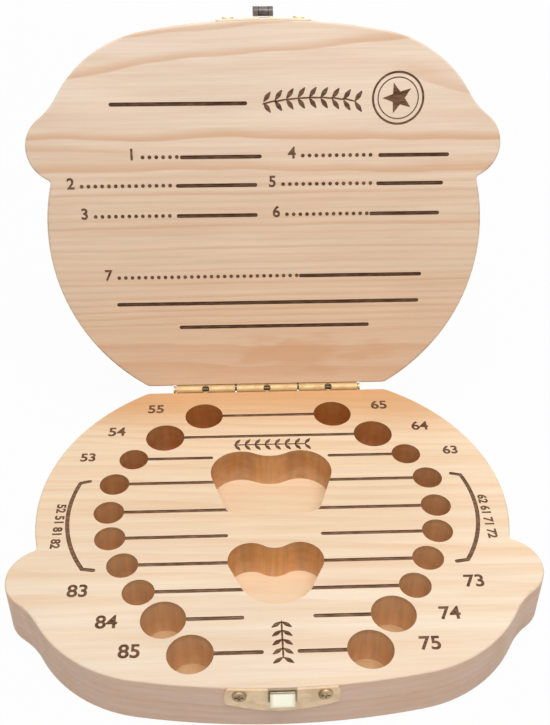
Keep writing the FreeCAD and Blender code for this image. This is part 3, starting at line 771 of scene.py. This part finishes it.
# fields in millimetres: number, where its leader starts and ends, height above the hinge edge
lidMarks = {"size": 4.0 * mm, "inset": 1.4,
            "fields": [("1", -35.5, -22.2, 63.3), ("2", -51.5, -24.4, 56.0), ("3", -48.4, -24.4, 48.1),
                       ("4", 5.6, 28.8, 63.3), ("5", 0.5, 28.4, 56.0), ("6", 1.5, 26.8, 48.1),
                       ("7", -43.2, 8.4, 31.6)],
            "dot": 0.5 * mm, "dotStart": 4.2, "dotStep": 1.75, "dotDrop": 0.6,
            "ring": (34.0 * mm, 76.9 * mm), "ringRadius": 6.4 * mm, "rims": ((1.0, 0.55 * mm), (0.8, 0.3 * mm)),
            "rimSteps": 72, "star": 0.62, "spray": (11.4 * mm, 77.2 * mm), "leaves": 9, "leafStep": 2.9 * mm,
            "leaf": 3.1 * mm, "bow": 1.2 * mm}


def addRim(shape, x, y, radius, width):
    thick = markShape["thick"]
    corners = ((-1, 0), (1, 0), (1, thick), (-1, thick))
    rim = [shape.verts.new((x + radius + side * width / 2, y, height)) for side, height in corners]
    edges = [shape.edges.new((rim[step - 1], rim[step])) for step in range(4)]
    bmesh.ops.spin(shape, geom=rim + edges, cent=(x, y, 0), axis=(0, 0, 1), angle=math.tau,
                   steps=lidMarks["rimSteps"], use_merge=True)


def buildLidMarks():
    shape = bmesh.new()
    for _, start, end, height in lidMarks["fields"]:  # dotted leaders
        x = start + lidMarks["dotStart"]
        while x < end:
            flatDisc(shape, x * mm, (height - lidMarks["dotDrop"]) * mm, lidMarks["dot"], lidMarks["dot"])
            x += lidMarks["dotStep"]
    x, y = lidMarks["ring"]
    flatStar(shape, x, y, lidMarks["ringRadius"] * lidMarks["star"])
    thicken(shape)
    for share, width in lidMarks["rims"]:
        addRim(shape, x, y, lidMarks["ringRadius"] * share, width)
    bmesh.ops.recalc_face_normals(shape, faces=shape.faces)
    for text, start, _, height in lidMarks["fields"]:
        place = Matrix.Translation(((start + lidMarks["inset"]) * mm, height * mm, 0))
        addMark(shape, numberMesh(text, lidMarks["size"]), place)
    spray = sprayMesh(lidMarks["leaves"], lidMarks["leafStep"], lidMarks["leaf"], lidMarks["bow"])
    addMark(shape, spray, Matrix.Translation((*lidMarks["spray"], 0)))
    bmesh.ops.transform(shape, matrix=lidFace, verts=shape.verts)
    addPiece("lidMarks", finishMesh(shape, "lidMarks"), [burntMark], "lid")


buildLidMarks()
print("lid marked")

# catch plate

catchPlate = {"materials": [catchBrass]}


def buildCatchPlate():
    mesh = finishMesh(copyOfNode("catch_plate"), "catchPlateBrass")
    piece = addPiece("catchPlateBrass", mesh, catchPlate["materials"], "base")
    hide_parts("catch_plate")


buildCatchPlate()

# other hardware, by how the node's name starts

finishes = {"hinge_leaf": brass, "hinge_pin": steel, "lever_pin": steel, "hinge_screw": screwBrass,
            "catch_screw": screwBrass, "latch_screw": paleScrew, "latch_plate": latchBrass, "latch_lever": leverShade}
for name, part in nodes.items():
    for start, material in finishes.items():
        if name.startswith(start):
            part.data.materials.clear()
            part.data.materials.append(material)
print("hardware finished")

# stage, light and camera

stage = {"reach": 3.0, "drop": 0.05 * mm, "colour": (0.5, 0.5, 0.5, 1), "roughness": 0.9, "shown": 0.97,
         "sky": 0.36, "skyShown": 0.975,
         "lamps": {"key": {"place": (0.02, -0.14, 0.52), "aim": (0, 0.02, 0), "size": 0.42, "power": 2.15},
                   "rearFill": {"place": (0.12, 0.62, 0.16), "aim": (0, 0.06, 0.05), "size": 0.4, "power": 1.6}}}


def seenDirectly(tree):  # 1 where the camera, a reflection or glass shows the surface
    rays = tree.nodes.new("ShaderNodeLightPath").outputs
    mirrored = calc(tree, "MAXIMUM", rays["Is Glossy Ray"], rays["Is Transmission Ray"])
    return calc(tree, "MAXIMUM", rays["Is Camera Ray"], mirrored)


def buildFloor():
    shape = bmesh.new()
    bmesh.ops.create_grid(shape, x_segments=1, y_segments=1, size=stage["reach"])
    bmesh.ops.translate(shape, verts=shape.verts, vec=(0, 0, -stage["drop"]))
    mesh = toMesh(shape, "floor")
    floor = bpy.data.objects.new("floor", mesh)
    bpy.context.scene.collection.objects.link(floor)
    material, tree, shader = newMaterial("floorWhite")
    shader["Base Color"].default_value = stage["colour"]
    shader["Roughness"].default_value = stage["roughness"]
    glow = tree.nodes.new("ShaderNodeEmission")
    mix = tree.nodes.new("ShaderNodeMixShader")
    wire(tree, glow.inputs["Strength"], 1.0)
    wire(tree, mix.inputs[0], calc(tree, "MULTIPLY", seenDirectly(tree), stage["shown"]))
    wire(tree, mix.inputs[1], tree.nodes["Principled BSDF"].outputs[0])
    wire(tree, mix.inputs[2], glow.outputs[0])
    wire(tree, tree.nodes["Material Output"].inputs[0], mix.outputs[0])
    mesh.materials.append(material)


def buildSky():
    world = bpy.data.worlds.new("studio")
    bpy.context.scene.world = world
    world.use_nodes = True
    tree = world.node_tree
    strength = spread(tree, seenDirectly(tree), 0.0, 1.0, stage["sky"], stage["skyShown"], False)
    wire(tree, tree.nodes["Background"].inputs["Color"], white)
    wire(tree, tree.nodes["Background"].inputs["Strength"], strength)


def addLamp(name, place, aim, size, power):
    lamp = bpy.data.lights.new(name, "AREA")
    lamp.shape = "DISK"
    lamp.size = size
    lamp.energy = power
    holder = bpy.data.objects.new(name, lamp)
    holder.location = place
    holder.rotation_euler = (Vector(aim) - Vector(place)).to_track_quat("-Z", "Y").to_euler()
    bpy.context.scene.collection.objects.link(holder)


view = {"place": (-7.6 * mm, -174.4 * mm, 192.1 * mm), "aim": (2.85 * mm, 64.1 * mm, 10.5 * mm),
        "roll": 0.45, "sensor": 36, "focal": 1032 / 550, "nearest": 10 * mm}  # focal length in widths of the sensor


def buildCamera():
    data = bpy.data.cameras.new("camera")
    data.sensor_fit = "HORIZONTAL"
    data.sensor_width = view["sensor"]
    data.lens = view["focal"] * view["sensor"]
    data.clip_start = view["nearest"]
    holder = bpy.data.objects.new("camera", data)
    bpy.context.scene.collection.objects.link(holder)
    look = (Vector(view["aim"]) - Vector(view["place"])).to_track_quat("-Z", "Y").to_matrix().to_4x4()
    roll = Matrix.Rotation(math.radians(view["roll"]), 4, "Z")
    holder.matrix_world = Matrix.Translation(view["place"]) @ look @ roll
    bpy.context.scene.camera = holder


buildFloor()
buildSky()
for name, lamp in stage["lamps"].items():
    addLamp(name, **lamp)
buildCamera()
bpy.context.scene.view_settings.view_transform = "Standard"
print("stage set")
